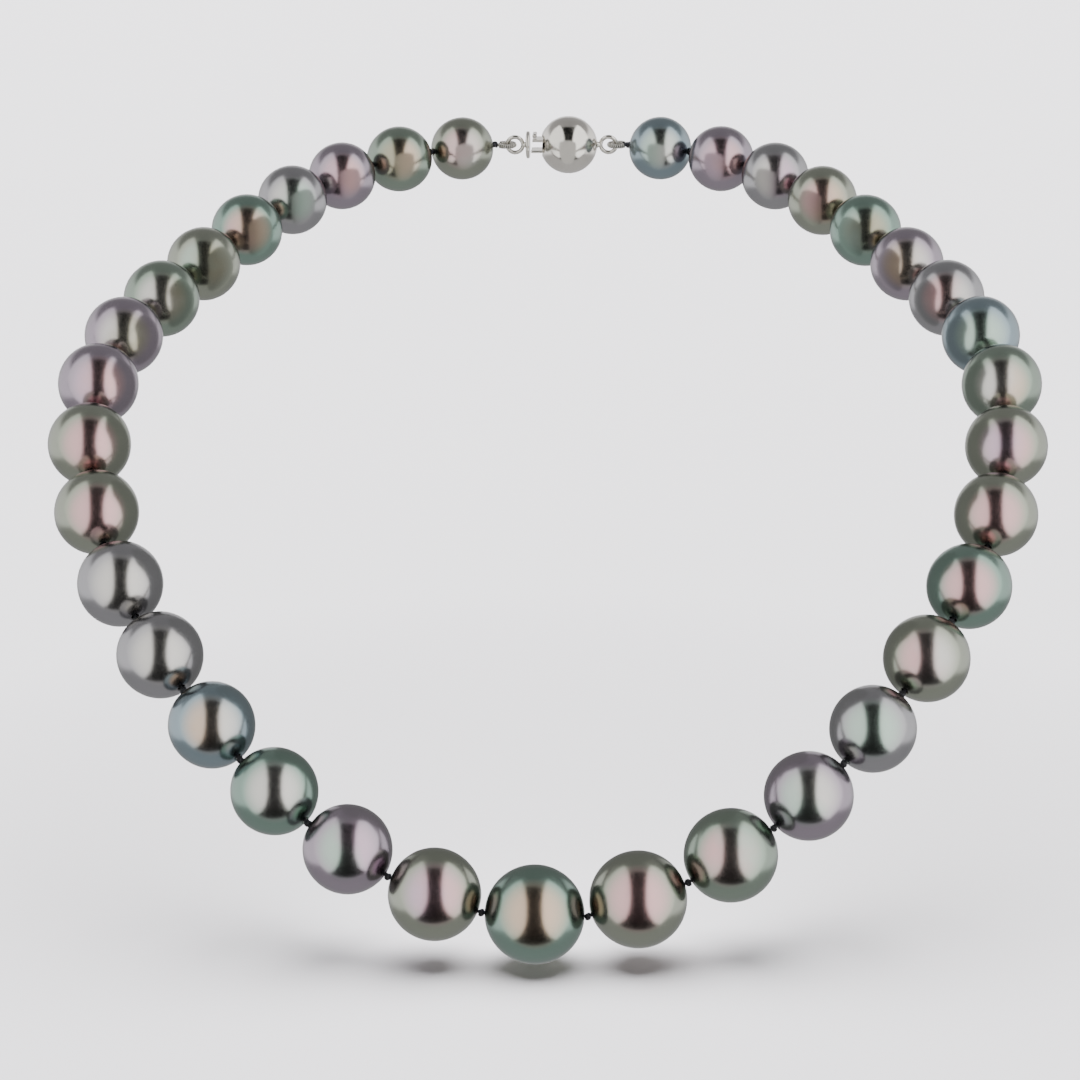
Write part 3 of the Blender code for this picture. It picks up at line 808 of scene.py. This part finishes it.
class PEARLS_OT_studio(bpy.types.Operator):
    """Set the floor, the tent's walls, the top light, the sleeve, the surroundings and the camera"""
    bl_idname = "pearls.studio"
    bl_label = "Studio"

    def execute(self, context):
        settings = context.scene.pearl_studio
        target = np.array(settings.target)
        self.add_floor(CAD_BOX[0][2])
        self.add_tent(settings, target, self.lens_axes(settings))
        self.add_top_light(settings)
        self.add_flag(settings)
        self.add_surroundings(context.scene)
        self.add_camera(context.scene, settings, target)
        return {"FINISHED"}

    @staticmethod
    def add_floor(height):
        """A flat disc whose rings close in on the middle as the square of their share."""
        share = np.linspace(1, 0.02, 24)[:, None] ** 2
        angle = np.linspace(0, 2 * math.pi, 96, endpoint=False)
        grid = np.stack((FLOOR_RADIUS * share * np.cos(angle), FLOOR_RADIUS * share * np.sin(angle),
                         height - FLOOR_DROP + 0 * share * angle), axis=-1)
        index, faces = wrapped_faces(*grid.shape[:2])
        faces = faces[:-1].reshape(-1, 4).tolist() + [index[-1].tolist()]
        floor = link_mesh("studio_floor", grid, faces, studio_board())
        # a worn strand has no table under it, so the pearls neither mirror the floor nor lose
        # light to it
        floor.visible_glossy = floor.visible_shadow = False

    @staticmethod
    def add_tent(settings, target, axes):
        """Two glowing walls of a light tent, with an upright gap between them for the lens.

        They lie on a ball round the strand. A point's place comes from two angles: how far it
        swings to the side of the lens's upright plane, and how far it turns over the strand from
        the lens. The gap's edge swings out by the square of the turn, more below than above.
        The right wall is the brighter one, and gloss alone meets them.
        """
        bottom, top, gap, edge = -72, 96, 17, 88
        over = np.radians(np.linspace(bottom, top, 29))[:, None]
        flare = np.where(over > 0, np.radians(5) * (over / np.radians(90)) ** 2,
                         np.radians(20) * (over / np.radians(72)) ** 2)
        share = np.linspace(0, 1, 15)
        aside = (np.radians(gap) + flare) * (1 - share) + np.radians(edge) * share
        for name, side in (("tent_wall_left", -1), ("tent_wall_right", 1)):
            local = np.stack((side * np.sin(aside), np.cos(aside) * np.sin(over),
                              np.cos(aside) * np.cos(over)), axis=-1)
            faces = wrapped_faces(*local.shape[:2])[1][:-1, :-1, [0, 3, 2, 1]]
            cloth = glow(name.replace("_", " "), settings.tent * (1 + 0.12 * side))
            wall = link_mesh(name, target + TENT_RADIUS * local @ axes.T,
                             faces.reshape(-1, 4).tolist(), cloth)
            wall.visible_camera = wall.visible_shadow = wall.visible_diffuse = False

    @staticmethod
    def add_top_light(settings):
        """A broad lamp overhead that lights the floor evenly and leaves no reflection."""
        data = bpy.data.lights.new("top_light", "AREA")
        data.shape, data.size = "DISK", 3.0
        data.energy = settings.top
        lamp = bpy.data.objects.new("top_light", data)
        bpy.context.scene.collection.objects.link(lamp)
        lamp.location = (0, 1.1, 2.0)
        lamp.visible_camera = lamp.visible_glossy = False

    @staticmethod
    def add_flag(settings):
        """An upright sleeve that glows dimly inside the loop, where a neck would be: gloss alone meets it.

        Its glow is a painted reflection of a shaded neck that darkens the pearls' inner edges, and it is painted
        brighter towards the nape. A point is half the width times the cosine of its angle, half the depth times
        the sine, and its height.
        """
        angle = np.linspace(0, 2 * math.pi, 64, endpoint=False)
        height = np.array((CAD_BOX[0][2], CAD_BOX[1][2] + SLEEVE_RISE))[:, None]
        grid = np.stack((settings.target[0] + SLEEVE_HALF_WIDTH * np.cos(angle) + 0 * height,
                         SLEEVE_HALF_DEPTH * np.sin(angle) + 0 * height,
                         height + 0 * angle), axis=-1)
        faces = wrapped_faces(*grid.shape[:2])[1][0].tolist()
        # painted reflection: a dim glowing sheet, brighter towards the nape, where the pearls would mirror a
        # shaded neck
        flag = link_mesh("neck_flag", grid, faces,
                         glow("Glowing sleeve, painted brighter behind", settings.flag, behind=2.2))
        flag.visible_camera = flag.visible_shadow = flag.visible_diffuse = False

    @staticmethod
    def add_surroundings(scene):
        """Pale to the lens; in light and gloss, dim behind the camera and paler beyond the strand.

        Beyond the strand it brightens out to both sides and straight behind, and a band below
        the strand is lit too. Each value reads the direction: X and Y level, Z up.
        """
        dim, background_level = 0.014, 2.9
        under_plane = (0, 0.814, -0.581)  # across a plane that slopes down in front of the strand
        world = bpy.data.worlds.new("Studio")
        world.use_nodes = True
        scene.world = world
        tree = world.node_tree
        tree.nodes.clear()
        heading = add_node(tree, "ShaderNodeTexCoord")
        parts = add_node(tree, "ShaderNodeSeparateXYZ", links={"Vector": (heading, "Generated")})
        beyond = add_node(tree, "ShaderNodeMapRange",
                          {"From Min": -0.1, "From Max": 0.08, "To Min": 0.0, "To Max": 1.0},
                          {"Value": (parts, "Y")}, interpolation_type="SMOOTHSTEP")
        under = add_node(tree, "ShaderNodeVectorMath", {1: under_plane},
                         {0: (heading, "Generated")}, operation="DOT_PRODUCT")
        below = add_node(tree, "ShaderNodeMapRange",
                         {"From Min": -0.01, "From Max": 0.05, "To Min": 0.0, "To Max": 1.0},
                         {"Value": (under, "Value")}, interpolation_type="SMOOTHSTEP")
        lit = add_node(tree, "ShaderNodeMath", links={0: (beyond, "Result"), 1: (below, "Result")},
                       operation="MAXIMUM")
        width = add_node(tree, "ShaderNodeMath", links={0: (parts, "X")}, operation="ABSOLUTE")
        height = add_node(tree, "ShaderNodeMath", links={0: (parts, "Z")}, operation="ABSOLUTE")
        level = add_node(tree, "ShaderNodeMapRange",
                         {"From Min": 0.65, "From Max": 0.25, "To Min": 0.0, "To Max": 1.0},
                         {"Value": (height, "Value")}, interpolation_type="SMOOTHSTEP")
        outward = add_node(tree, "ShaderNodeMath", links={0: (width, "Value"), 1: (level, "Result")},
                           operation="MULTIPLY")
        flank = add_node(tree, "ShaderNodeMapRange",
                         {"From Min": 0.2, "From Max": 0.78, "To Min": 0.6, "To Max": 1.9},
                         {"Value": (outward, "Value")}, interpolation_type="SMOOTHSTEP")
        facing = add_node(tree, "ShaderNodeMapRange",
                          {"From Min": 0.86, "From Max": 0.97, "To Min": 0.0, "To Max": 0.9},
                          {"Value": (parts, "Y")}, interpolation_type="SMOOTHSTEP")
        rear = add_node(tree, "ShaderNodeMath", links={0: (flank, "Result"), 1: (facing, "Result")},
                        operation="ADD")
        lower = add_node(tree, "ShaderNodeMath", {1: -0.14}, {0: (parts, "Z"), 2: (rear, "Value")},
                         operation="MULTIPLY_ADD")
        room = add_node(tree, "ShaderNodeMix", {2: dim}, {0: (lit, "Value"), 3: (lower, "Value")})
        ray = add_node(tree, "ShaderNodeLightPath")
        seen = add_node(tree, "ShaderNodeMix", {3: background_level},
                        {0: (ray, "Is Camera Ray"), 2: (room, 0)})
        background = add_node(tree, "ShaderNodeBackground", {"Color": (0.985, 0.98, 1, 1)},
                              {"Strength": (seen, 0)})
        add_node(tree, "ShaderNodeOutputWorld", links={"Surface": (background, "Background")})

    @staticmethod
    def lens_axes(settings):
        """Right, up and back towards the lens, as columns, from the camera's three angles."""
        turn, rise, roll = settings.azimuth, settings.elevation, settings.roll
        right = np.array((math.cos(turn), -math.sin(turn), 0))
        back = -np.array((math.sin(turn) * math.cos(rise), math.cos(turn) * math.cos(rise),
                          -math.sin(rise)))
        up = np.cross(back, right)
        return np.stack((right * math.cos(roll) + up * math.sin(roll),
                         up * math.cos(roll) - right * math.sin(roll), back), axis=1)

    def add_camera(self, scene, settings, target):
        data = bpy.data.cameras.new("camera")
        data.lens, data.sensor_width = settings.lens, 36
        data.clip_start, data.clip_end = 0.01, 20
        camera = bpy.data.objects.new("camera", data)
        scene.collection.objects.link(camera)
        axes = self.lens_axes(settings)
        camera.location = Vector(target + axes[:, 2] * settings.distance)
        camera.rotation_mode = "QUATERNION"
        camera.rotation_quaternion = Matrix(axes.tolist()).to_quaternion()
        scene.camera = camera


class PEARLS_PT_panel(bpy.types.Panel):
    """Lists the strand's pieces and their settings"""
    bl_idname = "PEARLS_PT_panel"
    bl_label = "Knotted Pearl Strand"
    bl_space_type = "VIEW_3D"
    bl_region_type = "UI"
    bl_category = "Pearls"

    def draw(self, context):
        for operator, groups in PIECES:
            box = self.layout.box()
            box.operator(operator.bl_idname)
            for group in groups:
                settings = getattr(context.scene, group)
                for name in settings.__annotations__:
                    box.prop(settings, name)


GROUPS = (
    ("pearl_sizes", PearlSettings),
    ("pearl_nacre", NacreSettings),
    ("pearl_silk", SilkSettings),
    ("pearl_clasp", ClaspSettings),
    ("pearl_studio", StudioSettings),
)
PIECES = (
    (PEARLS_OT_pearls, ("pearl_sizes", "pearl_nacre")),
    (PEARLS_OT_silk, ("pearl_silk",)),
    (PEARLS_OT_gimp, ("pearl_clasp",)),
    (PEARLS_OT_clasp, ()),
    (PEARLS_OT_studio, ("pearl_studio",)),
)
CLASSES = [group for _, group in GROUPS] + [operator for operator, _ in PIECES] + [PEARLS_PT_panel]


def register():
    for cls in CLASSES:
        bpy.utils.register_class(cls)
    for name, group in GROUPS:
        setattr(bpy.types.Scene, name, PointerProperty(type=group))


def unregister():
    for name, _ in GROUPS:
        delattr(bpy.types.Scene, name)
    for cls in reversed(CLASSES):
        bpy.utils.unregister_class(cls)


def main():
    register()
    bpy.ops.pearls.pearls()
    bpy.ops.pearls.silk()
    bpy.ops.pearls.gimp()
    bpy.ops.pearls.clasp()
    bpy.ops.pearls.studio()


if __name__ == "__main__":
    main()
